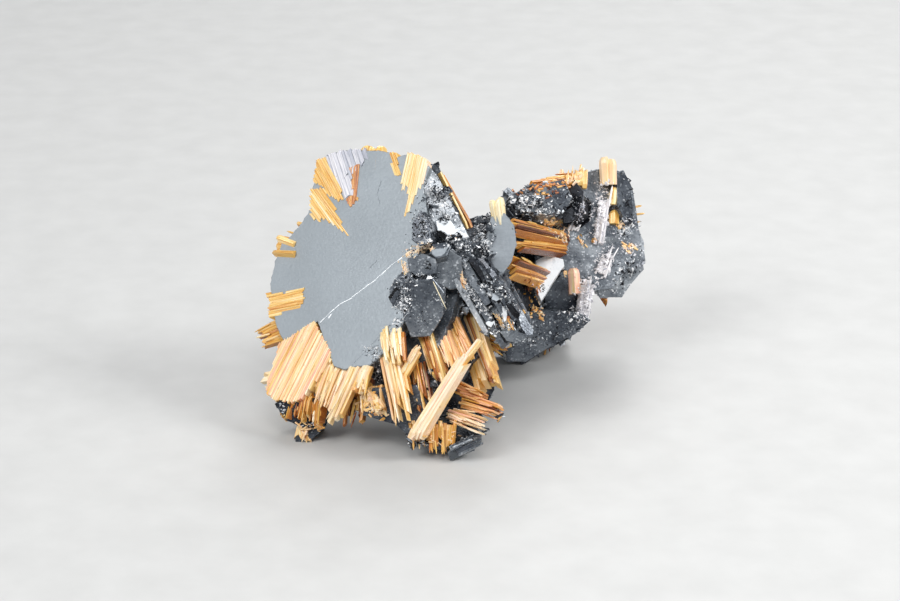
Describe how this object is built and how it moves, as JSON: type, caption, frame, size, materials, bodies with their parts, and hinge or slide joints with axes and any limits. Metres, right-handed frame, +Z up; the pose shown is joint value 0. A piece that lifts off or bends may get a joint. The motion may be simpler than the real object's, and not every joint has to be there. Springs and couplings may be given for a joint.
{
  "type": "rutile crystal cluster on hematite",
  "caption": "Mineral specimen: golden rutile laths fanning out from stacked grey hematite plates, with a second group of crystals behind.",
  "frame": {"origin": "centre of the specimen's bounding box in plan, on the surface that it rests on", "axes": "+Z up, as the specimen rests; the large grey face looks towards -Y and a little to -X and up; the rear crystals lie towards +X and +Y"},
  "size_m": [0.0294, 0.028, 0.0195],
  "materials": {
    "hematite": "dark grey mineral with a metallic lustre, smooth on crystal faces and glittering where broken",
    "rutile": "golden to reddish brown needles with a silky, satin lustre along their length"
  },
  "bodies": {
    "root": {"crystal_cluster": "hematite"}
  },
  "joints": []
}
